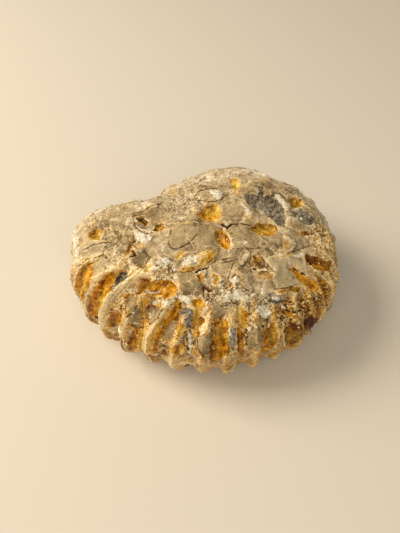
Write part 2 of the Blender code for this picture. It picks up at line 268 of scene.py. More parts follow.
# Where the calcite is olive to pale yellow instead of honey coloured
OLIVE = {
    # Partly painted shade: the olive upper right of the block stands for the shaded side of its recess
    "upper right of the block in the middle": ((207, 209, 3), (217, 208, 4.5)),
    "head of the block below": ((218, 233, 3.5), (221, 238, 2.5)),
    "window on the left": ((94, 234, 7),),
    "by the lilac plate": ((125, 255, 3), (134, 241, 3)),
    "ring": ((140, 221, 5), (159, 228, 4)),
    "grain at the back": ((234, 184, 6),),
    "patch at the back right": ((295, 202, 8),),
    "left of the patch on the right": ((255, 230, 5), (272, 226, 4)),
    "upper end of the seam": ((217, 251, 1.2),),
    "foot of the first hollow": ((77, 293, 4), (82, 287, 3)),
    "gold in the second hollow": ((96, 305, 2.5), (102, 294, 1.8)),
    # Painted shadow in part: the dark olive top of the first hollow lies in the shade under the ridge's lip
    "top of the first hollow": ((80, 271, 3), (87, 264, 2.5)),
    "third hollow": ((107, 323, 2), (113, 327, 1.4)),
    "long patch above the ribs": ((142, 285, 3), (150, 284, 2.5)),
    "head of the third ridge": ((148, 270, 4.5),),
    "below the shard": ((215, 278, 5),),
    "sixth hollow's head": ((198, 308, 3), (197, 322, 3)),
    "side of the sixth hollow": ((180, 329, 4),),
    "eighth hollow's head": ((241, 306, 3.5), (238, 315, 2.5)),
    "seventh hollow": ((217, 328, 3), (227, 341, 3)),
    "ninth hollow": ((271, 330, 6), (274, 342, 4)),
    "tenth hollow": ((288, 340, 6), (298, 336, 5)),
    "triangle": ((256, 258, 3),),
    "lower right": ((293, 289, 4),),
    "between the plates": ((180, 255, 3),),
}
CRYSTALS = {
    "large grey patch": (
        (243, 195), (250, 193), (257, 196), (260, 186), (264, 187), (263.5, 196), (270, 197), (278, 200), (284, 208),
        (286, 217), (284, 227), (277, 225), (270, 217), (263, 212), (255, 208), (247, 204),
    ),
    "patch at the right edge": ((291, 211), (300, 210), (309, 212), (315, 219), (311, 226), (303, 224), (297, 218)),
    "dark patch in the second hollow": (
        (109.3, 290), (114.6, 279), (120, 271), (128, 272.5), (125, 278), (116, 286), (110.5, 294),
    ),
    "speckled rib": ((229, 328), (236, 328), (236, 345), (231, 347), (228.5, 338)),
    "pearly patch": ((265, 294), (271, 292.5), (279, 296), (286, 300), (279, 304), (268, 302)),
    "grey patch between two ribs": ((178, 312), (186, 306.5), (193, 309.5), (192, 328), (187, 327.5), (184, 316)),
}
WHITE_SHELL = {
    "chips between the plates": ((156, 262), (168, 255.5), (171, 262), (163, 267)),
    "chips beside them": ((150, 268, 1.2), (158, 268, 1.4)),
    "brightest chip": ((176, 297.5), (180.7, 294.8), (192.3, 299.3), (190.5, 304.6), (181.6, 301)),
    "streaks above the ribs": (
        (221.6, 296.3), (239.4, 290.4), (249.3, 296.3), (248.3, 302.2), (237, 299), (222.6, 302.2),
    ),
    "chip above the streaks": ((229, 279), (238.4, 276.5), (239.4, 282.5), (233, 285)),
    "pink patch": ((135, 234.3), (145.9, 231.6), (152, 238), (146.8, 244), (137, 241.4)),
    "sparkle on the right": ((272, 297, 1.6), (278, 299, 2)),
    "fleck at the back": ((211, 191), (220, 190), (223, 197), (216, 199.5)),
    "corner of the block": ((220.5, 203, 1.2), (221, 206, 1.2)),
    "streak on the dome": ((240.5, 203, 1.2), (246, 209, 1.9), (250, 214, 1.8)),
    "fleck over the crystals": ((274, 195), (280, 194), (285, 200), (289, 209), (286, 211), (281, 203)),
    "flecks in the right patch": ((297, 214, 1), (303, 219, 1), (309, 217, 1)),
    "band of the long shard": ((180.7, 264), (184.3, 258.5), (198.6, 254.8), (198, 260), (187, 265.5)),
    "line over the cracked plate": ((170, 223.4, 0.7), (182, 223, 0.7), (195, 222.2, 0.7)),
    "patch at the right": ((294, 256.5, 1.6), (301, 254.5, 2.6)),
    "patch over the ninth rib": ((256, 306), (266, 306), (272, 313), (264, 319), (257, 312)),
    "patch over the fifth crest": ((153, 304, 1.2), (161, 301.5, 1.4), (170, 303, 1.3)),
    "cream edge of the block below": ((231.5, 239, 0.9), (231.5, 248, 1.1)),
    "edge of the matrix on the left": ((74, 226, 2.4), (75, 243, 3.6), (77, 256, 2)),
    "curl in the long patch": ((146, 288.6, 0.8), (149, 293, 1), (156, 293, 1), (163.8, 288, 0.8)),
    "ring's lower edge": ((136, 225, 1), (143, 230, 1.3), (150, 230, 1)),
    "highlight of the lilac rib": ((133.6, 312.5, 1.4),),
    "pearly grains": ((281, 304, 1), (285, 309, 1)),
    "specks on the sixth rib": ((188.5, 332, 1.3), (190, 344, 1.7), (190.5, 355, 1.0)),
    "specks on the ninth rib": ((248, 326, 1.2), (250, 332, 0.8)),
    "spots on the seventh rib": ((202, 327, 1), (203, 332, 1.3)),
    "spots on the eighth rib": ((254, 325, 1.2), (257, 327, 1.2)),
}
# Smooth split faces of the stone, and how much lighter than the rest they are
PLATES = {
    "plate right of the block": (-0.15, (223.6, 198), (238.8, 198.6), (245, 210.2), (238, 222), (223, 221)),
    "cracked plate": (
        0.05, (170.9, 225), (194, 223.6), (196.8, 231.6), (195.9, 236), (182.5, 245.9), (175.4, 249), (169.5, 245.5),
        (169.2, 234.3),
    ),
    "plate beside the cracked one": (
        -0.2, (198.5, 224), (214, 223.5), (214, 233), (216, 241), (209.3, 248.6), (199, 250.4), (198, 236),
    ),
    "plate in the middle": (-0.15, (233, 228), (252, 229), (259, 237), (258, 247), (234, 247)),
    "plate on the right": (
        0.5, (265, 258.5), (275, 256), (287, 257.5), (289, 270), (289.8, 285.5), (277.5, 288), (274.5, 282),
        (275.5, 272.6),
    ),
    "plate above the ribs": (-0.45, (179, 276), (193, 275), (200, 283), (203, 293), (196, 296), (181, 291)),
    # Painted shade: the facet is darker because it lies in shade
    "facet in shadow": (-0.2, (143, 214.6), (150.4, 208.4), (159.3, 207.5), (164.5, 211), (162, 217.6), (155.7, 219)),
    "lilac plate": (-0.8, (134.3, 257), (143.2, 252.6), (149, 257.5), (143.2, 267.3), (135.2, 263)),
    "grey plate of the third rib": (-0.45, (123.6, 304.6), (130.7, 295.7), (138, 297.5), (134.3, 307.5), (127, 315)),
    "lilac end of the second ridge": (
        -0.1, (84.5, 302), (89, 298.5), (91.5, 305), (91, 312), (94, 317), (90, 319), (86, 312),
    ),
    "lilac plate of the third rib": (-0.3, (127.4, 318), (136, 306.5), (141.4, 312), (140.5, 326), (132.5, 325.2)),
    "plate of the fourth rib": (-0.3, (146.5, 312), (155.7, 306.6), (161, 310.9), (156.6, 318.9), (149, 323.4)),
    "plate of the fifth rib": (-0.2, (162.5, 331.4), (170.9, 320.7), (175.4, 322.5), (172.7, 337.7), (165, 340.4)),
    "plate of the sixth rib": (-0.35, (197, 337), (208, 334), (212.5, 339), (210, 351), (203, 356), (197, 348)),
    "plate of the seventh rib": (-0.4, (213.5, 304), (224, 304), (226, 312), (219, 318), (213, 315)),
    "plate of the ninth rib": (
        -0.3, (247.3, 334), (253.3, 328), (261.2, 330), (262.2, 342.7), (257, 349.7), (248.3, 346.7),
    ),
    "plate of the first hollow": (0.3, (93, 262), (101, 258.5), (108, 261), (104, 268), (95, 276)),
}
PITS = {
    "pits in the ring": ((137, 218, 1.2), (145, 222.5, 1.2)),
    "hole in the ring's right half": ((154.5, 229.5, 1.3), (155, 227, 1)),
    "dots under the ring": ((135, 227, 0.7), (142, 232.5, 0.8), (149.5, 233.5, 0.7)),
    "red pit by the lilac plate": ((133.4, 241.6, 1.6),),
    "black pits by the lilac plate": ((132.5, 250, 0.9), (134.5, 254, 1), (129, 257, 0.7)),
    "shadow under the shard": ((196, 271.4, 0.9), (202, 270, 1.7), (208.4, 266.5, 1)),
    "hole in the triangle": ((252.6, 267.4, 1.2), (255.6, 268.3, 1.2)),
    "pit in the red spot": ((205, 286, 0.8),),
    # Painted shadow: a dark slash of shade beside the crystals
    "slash by the crystals": ((257, 199, 0.9), (262, 187, 0.8)),
    "step in the middle": ((222, 223.5, 1.2), (227, 227, 1.7), (231, 225, 1)),
    "pit at the back": ((236, 191, 1.2),),
    "dark side of the plate": ((221.8, 206, 0.7), (221.8, 213, 0.7)),
    "pits in the patch on the right": ((277, 229, 1.1), (272, 225.5, 0.8)),
    "pit in the olive patch": ((300.5, 199, 1.1),),
    "pits on the left": ((106, 257, 0.9), (109, 262, 0.9)),
    "dots left of the triangle": ((239.4, 268.6, 0.9),),
    "black specks by the pearly patch": ((269, 300, 0.9), (292, 302.5, 1)),
    "pits on the lower right": ((287, 309, 1), (296, 313, 1.2), (303, 309, 1)),
    "upper line of the long right patch": ((293, 268, 0.7), (303, 273, 0.8), (313, 280, 0.7)),
    "dark line by the right rim": ((307, 258, 1), (314, 262, 1)),
    "dark spot on the lower right": ((297, 303, 1), (299, 304, 1.2)),
    # Partly painted shadow: dark pits at the right foot, darkened for the shadow under the rim
    "maroon at the lower right": ((306, 319, 1.3), (309, 325, 1.2)),
    "shadow of the facet": ((163, 209.5, 0.9), (164.5, 213, 0.9)),
    "pit of the eighth hollow": ((237.5, 308.5, 1.2),),
}
# Smooth calcite that shines through on the rim and in two spots of the flank, from 0 brown to 1 cream
GLAZES = {
    "under the first hollow": (0.6, (73, 290, 2.5), (78, 299, 3), (86, 302, 2)),
    "under the second ridge": (0.34, (87, 316, 2.5), (94, 323, 3)),
    "under the third hollow": (0.42, (105, 333, 3.5), (116, 339, 3.5)),
    "cream under the third hollow": (1.0, (113, 328, 2.4), (119, 331.5, 3.4)),
    "tip of the third rib": (0.42, (121, 342, 3), (125, 349, 3)),
    "under the fourth hollow": (0.48, (129, 352, 3.5), (141, 356, 4)),
    "under the fourth rib": (0.34, (148, 357, 4), (154, 361, 4), (160, 361, 3)),
    "under the fifth hollow": (0.76, (164, 361, 4), (173, 365, 4), (182, 366, 4)),
    "under the sixth hollow": (0.66, (188, 365, 3.5), (200, 368, 4.5)),
    "under the seventh hollow": (0.64, (208, 367, 3.5), (220, 367, 4)),
    "tip of the eighth rib": (0.26, (228, 367, 4),),
    "under the eighth hollow": (0.58, (236, 362, 3.5), (245, 361, 3.5), (254, 361, 4)),
    "under the ninth hollow": (0.5, (259, 358, 3.5), (270, 355, 3), (279, 351, 3.5)),
    "under the tenth hollow": (0.52, (286, 349, 3), (300, 343, 3)),
    "triangle's foot": (0.5, (258, 276.5, 2), (266, 275.5, 2.6), (271, 275.5, 2.2)),
    "peach spot": (0.5, (286, 243.5, 2.4), (286.5, 247.5, 2.6)),
    # Partly painted shadow: the glaze at the right foot is darkest for the shadow under the rim
    "dark right foot": (0.0, (304, 334, 3), (313, 325, 3)),
}
# Thin lines: cracks, seams and growth lines, from 0 dark to 1 cream. The cream lips and edges are partly painted
# highlights on edges that face the light
LINES = {
    "round the cracked plate": (
        0.08, (170.6, 232.5), (168.2, 241.4), (170, 246.8), (175.4, 249.5), (182.5, 245.9), (191.4, 240.5),
        (195.9, 235.6),
    ),
    "from the step": (0.2, (232, 224), (240, 223.6), (250, 225.6)),
    "across the middle": (0.15, (223.6, 262.7), (236.5, 259.7)),
    "over it": (0.2, (223.6, 259), (232, 257.6)),
    "down from it": (0.2, (233.5, 263), (228.6, 277)),
    "under the middle plate": (0.35, (230, 248.9), (261, 248)),
    "at the right edge": (0.08, (308, 235), (322, 231)),
    "on the right": (0.08, (289, 252.8), (300.7, 248.8), (311, 244.9)),
    "along the left ledge": (0.08, (85, 249), (94, 244.4), (106, 242.4)),
    "ridge over the first hollow": (0.25, (80, 266), (88, 259), (102, 255)),
    "left of the triangle": (0.25, (250.6, 253.5), (249.6, 262), (251.5, 274)),
    "right of the triangle": (0.08, (259, 254), (266, 262), (274, 271.4)),
    "under the facet in shadow": (0.25, (134, 216), (143, 214.5)),
    "back ledge": (0.25, (195, 196), (199, 191), (207, 188.6), (216, 189)),
    "second back ledge": (0.15, (197, 199), (206, 202), (222, 199), (228, 193)),
    "between the plates of the third rib": (0.3, (138.5, 303), (134, 311), (127.6, 316.5)),
    "below the third rib's plates": (0.3, (133, 327), (141, 328.5)),
    "beside the fourth rib's plate": (0.25, (162, 310), (156.5, 320.5), (148, 324.5)),
    "beside the sixth rib's plate": (0.3, (197, 338), (198.5, 348), (203, 355.5)),
    "beside the plate above the ribs": (0.2, (203.6, 288), (204, 297)),
    "streaks under the chips": (0.2, (222, 306.5), (234, 303.6)),
    "lower right": (0.08, (277, 288.6), (286, 288), (296, 284.6)),
    "lip of the first ridge": (0.95, (101, 254), (88, 260), (79, 268), (74.5, 280), (74, 292)),
    "groove under it": (0.3, (97, 260), (88, 264.5), (82, 271), (79, 280)),
    "lip of the second ridge": (0.95, (112, 267), (97, 278), (88, 291), (84.5, 305), (88, 316)),
    "lip of the third ridge": (1.0, (133, 275), (113, 290), (104, 303), (100, 315), (101, 328)),
    "growth line of the third ridge": (0.66, (145, 267), (130, 281), (116, 297), (107, 315)),
    "second growth line": (0.68, (138, 268), (123, 282), (111, 298), (104, 318)),
    "third growth line": (0.55, (148, 262), (136, 270), (125, 279)),
    "tip of the third rib": (0.95, (128, 318), (122, 330), (123, 343), (127, 350)),
    "line beside the fourth rib": (0.5, (142, 300), (142.5, 328), (139, 350)),
    "lip of the fourth rib": (0.95, (172, 301), (157, 320), (146, 338), (145, 352), (152, 362)),
    "second line of the fourth rib": (0.66, (168, 310), (154, 330), (149, 348)),
    "lip of the eleventh rib": (0.9, (283, 324), (285, 346)),
    "line of the twelfth rib": (0.85, (303, 316), (304.5, 335)),
    "edge of the right flank": (0.9, (300, 256), (318, 272), (330, 285)),
    "edge over it": (0.9, (317, 246), (334, 262)),
    "lower edge of the long right patch": (0.85, (290, 272), (304, 285), (316, 294)),
    "edge of the block below": (0.9, (229, 250), (232, 243), (228, 234)),
    "left edge of the cracked plate": (0.8, (168, 224), (182, 223), (196, 222)),
    "edge of the long shard": (0.3, (184, 272), (200, 269), (213, 258)),
    "edge of the plate on the right": (0.75, (276, 257), (289, 257), (293, 253)),
    "line over the ring": (0.35, (133, 214), (142, 212), (150, 207), (158, 205)),
    "left of the ring": (0.15, (133.5, 219), (135, 227), (142, 232), (151, 233)),
}
# Broad changes of the stone between them: how much lighter, browner and more speckled it is, then the stroke. Some
# are painted light: the lit edges, and the warm reflection on the rim
WASHES = {
    # Painted light in part: the left, upper left and back edges are lighter where the light from the back left falls
    # on them, and the lit line of the back edge is a painted highlight
    "left edge": (0.4, -0.2, 0.4, (74, 228, 3), (73, 245, 3), (75, 262, 3)),
    "upper left edge": (0.2, 0.0, 0.3, (84, 219, 8), (108, 211, 7), (135, 204, 7), (163, 193, 7)),
    "back edge": (0.45, 0.0, 0.4, (178, 184, 7), (208, 176, 7), (240, 171, 6), (262, 174, 5)),
    "back right edge": (0.0, 0.2, 0.4, (285, 185, 7), (306, 203, 7), (324, 222, 7)),
    "lit line of the back edge": (
        1.0, 0.2, 0.3, (262, 173, 1.5), (284, 179, 2), (303, 193, 2.5), (321, 211, 2.5), (331, 228, 2),
    ),
    "right middle": (-0.45, 0.0, 0.2, (266, 247, 6), (281, 250, 6)),
    "right edge": (0.2, 0.85, 1.0, (322, 236, 12), (328, 262, 9), (328, 285, 7)),
    "lower right": (-0.5, 1.3, 1.3, (321, 292, 10), (309, 309, 14), (286, 312, 12), (306, 326, 10)),
    "ninth and tenth ribs": (-0.1, 0.8, 0.8, (268, 332, 12), (294, 330, 12)),
    "grey middle": (-0.2, 0.0, 0.0, (196, 240, 15), (236, 240, 17), (258, 232, 8)),
    "triangle": (-0.9, 0.7, 0.4, (257, 262, 6), (263, 271, 5)),
    "left of the triangle": (-0.3, 0.1, 0.4, (242, 266, 8), (238, 280, 6)),
    "grey back": (-0.3, 0.1, 0.2, (248, 199, 6), (262, 186, 10), (282, 200, 10)),
    "cream matrix on the left": (-0.2, 0.0, 0.4, (100, 224, 10), (112, 240, 10), (125, 228, 8)),
    "crumbly top": (0.0, 0.0, 0.7, (176, 205, 13), (196, 198, 11), (190, 214, 10)),
    "first ridge": (0.3, 0.6, 0.5, (73, 287, 2.5), (76, 273, 3), (84, 262, 3), (101, 255, 3)),
    "crest of the fourth rib": (1.0, 0.7, 0.8, (170, 304, 3), (162, 315, 3.5), (152, 330, 2.5)),
    "crest of the seventh rib": (0.8, 0.4, 0.9, (204, 309, 3), (204.5, 332, 3)),
    "speckled rib": (1.1, 0.0, 0.6, (232.5, 330, 3), (232.5, 344, 3)),
    "grey patch between two ribs": (0.3, 0.0, 0.3, (186, 310, 4), (189, 324, 2)),
    "beside the third ridge": (0.6, 0.5, 0.8, (122, 302, 2), (138, 288, 3.5)),
    "second ridge": (0.65, 0.85, 0.8, (84, 318, 2.5), (84, 303, 3), (90, 290, 3), (100, 277, 3), (114, 269, 3)),
    "dark patch in the second hollow": (-1.0, 0.0, 0.0, (113, 287, 2), (122, 275, 3)),
    "third ridge": (1.1, 1.0, 1.2, (101, 323, 3), (103, 308, 4), (120, 290, 5), (133, 276, 5), (146, 264, 4)),
    "under the lilac plate": (0.2, 0.3, 1.0, (112, 256, 6), (124, 262, 6)),
    "left ribs": (0.2, 0.8, 0.7, (92, 285, 14), (118, 305, 16)),
    "front ribs": (-0.1, 0.65, 1.0, (150, 325, 16), (200, 335, 20), (240, 335, 18)),
    "speckled shelf": (-0.2, 0.1, 1.3, (165, 268, 9), (160, 302, 8), (235, 294, 12), (262, 308, 10)),
    "dark streaks under the chips": (-0.35, 0.1, 0.6, (222, 307, 4), (236, 306, 4)),
    # Painted reflection: the rim's golden stain is warm light thrown onto its shaded underside from below
    "rim between the tips": (0.3, 0.8, 0.2, (88, 315, 4), (128, 347, 4), (152, 361, 4), (204, 369, 4)),
    "rim on the right": (0.1, 0.8, 0.2, (228, 367, 4), (264, 359, 5), (296, 347, 4), (312, 334, 4)),
}
WASH_EDGE = 2.5  # mm on each side over which a wash fades

seen = in_photo(points)
in_plane = np.column_stack((seen[:, :2] * MM_PER_PIXEL, seen[:, 2] * DEPTH_COUNTS))
noise.seed_set(RIPPLE_SEED)
ripples = np.array([noise.noise_vector(Vector(p) / RIPPLE_SIZE) for p in points])
tatters = np.array([noise.cell_vector(noise.voronoi(Vector(p) / TATTER_SIZE)[1][0] * CENTRE_SPREAD) for p in points])
torn_plane = in_plane + RIPPLE * ripples + TATTER * (tatters - 0.5)


def on_surface(x, y):
    """Place in mm in the photograph's plane, with the counted depth of the surface seen there."""
    gap = np.hypot(seen[:, 0] - x, seen[:, 1] - y)
    near = gap < max(SEEN_NEAR, gap.min() + SEEN_BEYOND)
    return np.array((x * MM_PER_PIXEL, y * MM_PER_PIXEL, in_plane[near, 2].min()))


def depth_inside_stroke(stroke, places):
    """How far inside a stroke each place lies, in mm, and below 0 how far outside."""
    laid = [(on_surface(x, y), half_width * MM_PER_PIXEL) for x, y, half_width in stroke]
    inside = np.full(point_count, FAR_OUTSIDE)
    for (start, first), (end, last) in zip(laid, laid[1:] or laid):
        line = end - start
        share = np.clip((places - start) @ line / max(line @ line, 1e-9), 0, 1)
        gap = np.linalg.norm(places - start - share[:, None] * line, axis=1)
        inside = np.maximum(inside, first + (last - first) * share - gap)
    return inside


def depth_inside_outline(outline, places):
    """The same for an outline: the distance to its nearest side, as the camera sees it."""
    laid = np.array([on_surface(x, y) for x, y in outline])
    nearest = np.full(point_count, -FAR_OUTSIDE)
    within = np.zeros(point_count, bool)
    for start, end in zip(laid, np.roll(laid, -1, axis=0)):
        line, offset = (end - start)[:2], places[:, :2] - start[:2]
        share = np.clip(offset @ line / (line @ line), 0, 1)
        nearest = np.minimum(nearest, np.linalg.norm(offset - share[:, None] * line, axis=1))
        spans = (start[1] > places[:, 1]) != (end[1] > places[:, 1])
        rise = line[1] if line[1] else 1.0
        within ^= spans & (offset[:, 0] < offset[:, 1] * line[0] / rise)
    off_depth = np.abs(places[:, 2] - laid[:, 2].mean()) - np.ptp(laid[:, 2]) / 2
    beyond = np.maximum(off_depth - OUTLINE_SLACK, 0)
    return np.where(within, nearest, -nearest) - beyond


def depth_inside(mark, places):
    """The same for a mark of either kind: a stroke's points have a half width as their third number."""
    measure = depth_inside_stroke if len(mark[0]) == 3 else depth_inside_outline
    return measure(mark, places)


def depth_inside_any(marks, places):
    return np.max([depth_inside(mark, places) for mark in marks.values()], axis=0)


def blended(marks, places, start):
    """Depth inside any of the marks, and their tones, which pass over into one another and into start."""
    weights = np.full(point_count, START_WEIGHT)
    tones = start * weights
    deepest = np.full(point_count, FAR_OUTSIDE)
    for own_tone, *mark in marks.values():
        inside = depth_inside(mark, places)
        weight = np.exp(np.minimum(inside, TONE_REACH) / TONE_BLEND)
        tones += own_tone * weight
        weights += weight
        deepest = np.maximum(deepest, inside)
    return deepest, tones / weights


def nearest_line(lines, places):
    """For each place, how near the nearest line is (mm below 0), how far it lies aside of it, and its tone."""
    nearness, aside = np.full((2, point_count), FAR_OUTSIDE)
    tones = np.zeros(point_count)
    for own_tone, *line_places in lines.values():
        laid = [on_surface(x, y) for x, y in line_places]
        for start, end in zip(laid, laid[1:]):
            line, offset = end - start, places - start
            share = np.clip(offset @ line / (line @ line), 0, 1)
            gap = np.linalg.norm(offset - share[:, None] * line, axis=1)
            across = (line[0] * offset[:, 1] - line[1] * offset[:, 0]) / np.hypot(line[0], line[1])
            closer = -gap > nearness
            nearness = np.where(closer, -gap, nearness)
            aside = np.where(closer, across, aside)
            tones = np.where(closer, own_tone, tones)
    return nearness, aside, tones


START_WEIGHT = 0.01  # of the start's own tone, against 1 for a mark's at its edge
TONE_BLEND, TONE_REACH = 0.5, 3  # mm over which one tone passes into the next, and how deep inside a mark
SHADED_SIDE = 0.7, 0.7, 0.0  # mm inwards from the side of a pocket that lies in shade, for its painted shade
TONE_LOST, TONE_WON = 0.14, 0.08  # tone taken off as painted shade on the shaded side, and added as painted light on the lit side
RIB_EVENNESS = 0.7  # how much less of both between the ribs
# On the sides that the photograph doesn't show, the same marks come at random, as thick as on the front:
# their size in mm, the share of the noise that stays free of them, and a shift that sets their pattern apart
HIDDEN_FACING = -0.05, 0.2  # cosines between which a surface turned from the camera counts as hidden
HIDDEN_FADE = 3  # mm by which the patches shrink where the surface is only half hidden
HIDDEN_CALCITE, HIDDEN_OLIVE = (9, 0.33, 3), (6, 0.1, 51)
HIDDEN_PLATES, HIDDEN_CRYSTALS = (12, 0.2, 33), (7, 0.42, 15)
HIDDEN_SHELL, HIDDEN_PITS = (4, 0.42, 27), (2, 0.5, 39)
# Thin brown calcite lines the other hollows
FILM_DEPTH, HIDDEN_FILM_DEPTH = 1.3, 0.9  # mm below the mean surface at which it begins
FILM_GROWTH = 1.2  # mm that its edge draws back for each mm that the surface rises
FILM_PATCHES, FILM_TONES = (3.2, 0, 9), (5, 0, 21)
PLATE_GAP, POCKET_GAP = 0.3, 0.4  # mm that it keeps from plates and glazes, and from the other calcite
HOLLOW_TONE, FILM_TONE_SWING = 0.42, 0.12
RIBBED = 0.5  # share of the swing in relief from which there are ribs, and so a film
HOLLOW_SOFTNESS = 0.5  # how much of its depth calcite loses between the ribs, which softens its edges
LINE_WAVER = 0.25  # share of the ripples by which thin lines waver

to_eye = eye - points
facing = (broad_normals * to_eye).sum(1) / np.linalg.norm(to_eye, axis=1)
hidden = 1 - smooth_step(*HIDDEN_FACING, facing)


def patches(size, share_off, shift):
    """Patches of about this size in mm, scattered at random: mm inside one, or below 0 outside."""
    moved = Vector((shift, 0, 0))
    return size * (np.array([noise.noise(Vector(p) / size + moved) for p in points]) - share_off)


def with_hidden(front, back):
    """The marks in sight, with the random patches on the hidden sides."""
    return np.maximum(front, np.where(hidden > 0, back - HIDDEN_FADE * (1 - hidden), FAR_OUTSIDE))


# Painted shade and painted light: each pocket's calcite is darker on its side that lies in shade and lighter on its
# lit side
calcite, tone = blended(CALCITE, torn_plane, HOLLOW_TONE)
further_in, _ = blended(CALCITE, torn_plane + SHADED_SIDE, HOLLOW_TONE)
shaded = np.clip(further_in - calcite, -1, 1)
tone -= np.where(shaded > 0, TONE_LOST, TONE_WON) * shaded * (1 - RIB_EVENNESS * rib_zone)
calcite = with_hidden(calcite, patches(*HIDDEN_CALCITE))
plates, plate_tone = blended(PLATES, torn_plane, 0.0)
plates = with_hidden(plates, patches(*HIDDEN_PLATES))
glaze, glaze_tone = blended(GLAZES, torn_plane, 0.5)

film_depth = FILM_DEPTH + (HIDDEN_FILM_DEPTH - FILM_DEPTH) * hidden
film = np.where(rib_zone > RIBBED, -FILM_GROWTH * rib_relief - film_depth + patches(*FILM_PATCHES), FAR_OUTSIDE)
film = np.where(np.maximum(plates, glaze) > -PLATE_GAP, FAR_OUTSIDE, film)
film_tone = HOLLOW_TONE + FILM_TONE_SWING * patches(*FILM_TONES) / 2
tone = np.where((film > calcite) & (calcite < -POCKET_GAP), film_tone, tone)
calcite = np.maximum(calcite, film) * (1 - HOLLOW_SOFTNESS * rib_zone)

olive = np.minimum(calcite, with_hidden(depth_inside_any(OLIVE, torn_plane), patches(*HIDDEN_OLIVE)))
crystals = with_hidden(depth_inside_any(CRYSTALS, torn_plane), patches(*HIDDEN_CRYSTALS))
white = with_hidden(depth_inside_any(WHITE_SHELL, torn_plane), patches(*HIDDEN_SHELL))
pits = with_hidden(depth_inside_any(PITS, torn_plane), patches(*HIDDEN_PITS))
line_nearness, line_aside, line_tone = nearest_line(LINES, in_plane + LINE_WAVER * ripples)

# How much lighter, browner and more speckled the stone between the marks is, with painted light on its lit edges and
# a painted warm reflection on the rim
HIDDEN_STAIN, RIB_STAIN, CALCITE_STAIN = 0.55, 0.6, 0.5
STAIN_REACH = 1.5  # mm round the calcite
HOLLOW_STAINED = 1.5  # mm below the mean surface at which a hollow is fully stained
RIB_SPECKLE, HIDDEN_SPECKLE = 0.5, 0.4
PLATE_MARGIN, CRUMB_GAP = 0.5, 0.2  # mm round a plate that take its tone, and round the marks without crumbs

lightness, stain, speckle = np.zeros((3, point_count))
for lighter, browner, rougher, *stroke in WASHES.values():
    amount = smooth_step(-WASH_EDGE, WASH_EDGE, depth_inside(stroke, in_plane))
    lightness += lighter * amount
    stain = np.maximum(stain, browner * amount)
    speckle = np.maximum(speckle, rougher * amount)
lightness = np.where(plates > -PLATE_MARGIN, plate_tone, lightness)
stain = np.maximum.reduce((
    stain,
    hidden * HIDDEN_STAIN * rib_zone,
    CALCITE_STAIN * smooth_step(-STAIN_REACH, 0, calcite),
    RIB_STAIN * rib_zone,
    rib_zone * smooth_step(0, HOLLOW_STAINED, -rib_relief),
))
speckle = np.maximum.reduce((speckle, RIB_SPECKLE * rib_zone, HIDDEN_SPECKLE * hidden))
crumbs = np.where(np.maximum.reduce((calcite, plates, crystals, glaze)) > -CRUMB_GAP, 0, speckle)

# Relief of the surface
# Broken limestone has flat facets with steps between them. Calcite and crystals lie a little deeper, with
# rough floors; plates and chips of shell stand up a little.

MEAN_DRAW = Vector((0.5, 0.5, 0.5))  # of random numbers from 0 to 1
LARGE_FACETS, SMALL_FACETS = (5.5, 0.10, 0.45), (2.3, 0.16, 0.25)  # size in mm, slope, step in mm
MINERAL_FACETS = 1.3, 0.5, 0.55
SMOOTHEST = 0.25  # share of the small facets and grains where the stone is least speckled
SAND_SIZE, SAND_RELIEF = 0.9, 0.12  # mm
# mm from a mark's edge between which its relief sets in
CALCITE_SETS_IN, CRYSTALS_SET_IN = (-0.1, 0.5), (-0.1, 0.4)
PLATES_SET_IN = SHELL_SETS_IN = -0.1, 0.3
POCKET_DEEPENS, PITS_DEEPEN = (0, 1.2), (-0.2, 0.4)
PLATE_SMOOTHNESS = 0.8
CALCITE_FACETED, SHELL_FACETED = 0.35, 0.8  # share of the mineral facets' height
PLATES_UP, SHELL_UP, CRYSTALS_DOWN, PITS_DOWN = 0.12, 0.3, 0.3, 0.8  # mm
POCKET_STEP, POCKET_DEPTH = 0.45, 0.55  # mm at the calcite's edge, and more further in
HOLLOW_SHALLOWER = 0.5  # share of them that the hollows between the ribs lack
LIP_UP, LIP_OUTSIDE, LIP_WIDTH = 0.2, -0.45, 0.35  # mm: a broken lip round the pockets
LIP_PATCHES, LIP_ENDS = (3, 0, 45), (-0.3, 0.3)
RIB_SHARPENING, RIB_LIMITS, FLANK_FACING = 0.35, (-3, 1), (0, 0.5)
LINE_RELIEF, LEVEL_TONE, LINE_FADES = 0.5, 0.55, 0.7  # mm; a paler line stands up, a darker one is sunk
EDGE_ROUNDS = 5  # of evening out, for the small edges that show lighter and the small creases that show darker


def broken(size, slope, step):
    """Heights in mm of broken stone: facets of about this size, each with its own slope and level."""
    heights = np.empty(point_count)
    for number, point in enumerate(points):
        place = Vector(point) / size
        centre = noise.voronoi(place)[1][0]
        own = noise.cell_vector(centre * CENTRE_SPREAD) - MEAN_DRAW
        heights[number] = size * slope * 2 * own.dot(place - centre) + step * own.x
    return heights


rough_share = SMOOTHEST + (1 - SMOOTHEST) * np.minimum(speckle, 1)
limestone_facets = broken(*LARGE_FACETS) + broken(*SMALL_FACETS) * rough_share
mineral_facets = broken(*MINERAL_FACETS)
sand_relief = SAND_RELIEF * rough_share * np.array([noise.noise(Vector(p) / SAND_SIZE) for p in points])

in_calcite = smooth_step(*CALCITE_SETS_IN, calcite)
in_crystals = smooth_step(*CRYSTALS_SET_IN, crystals)
in_white = smooth_step(*SHELL_SETS_IN, white)
in_plates = smooth_step(*PLATES_SET_IN, plates) * (1 - in_calcite)
deep_in_calcite = smooth_step(*POCKET_DEEPENS, calcite)

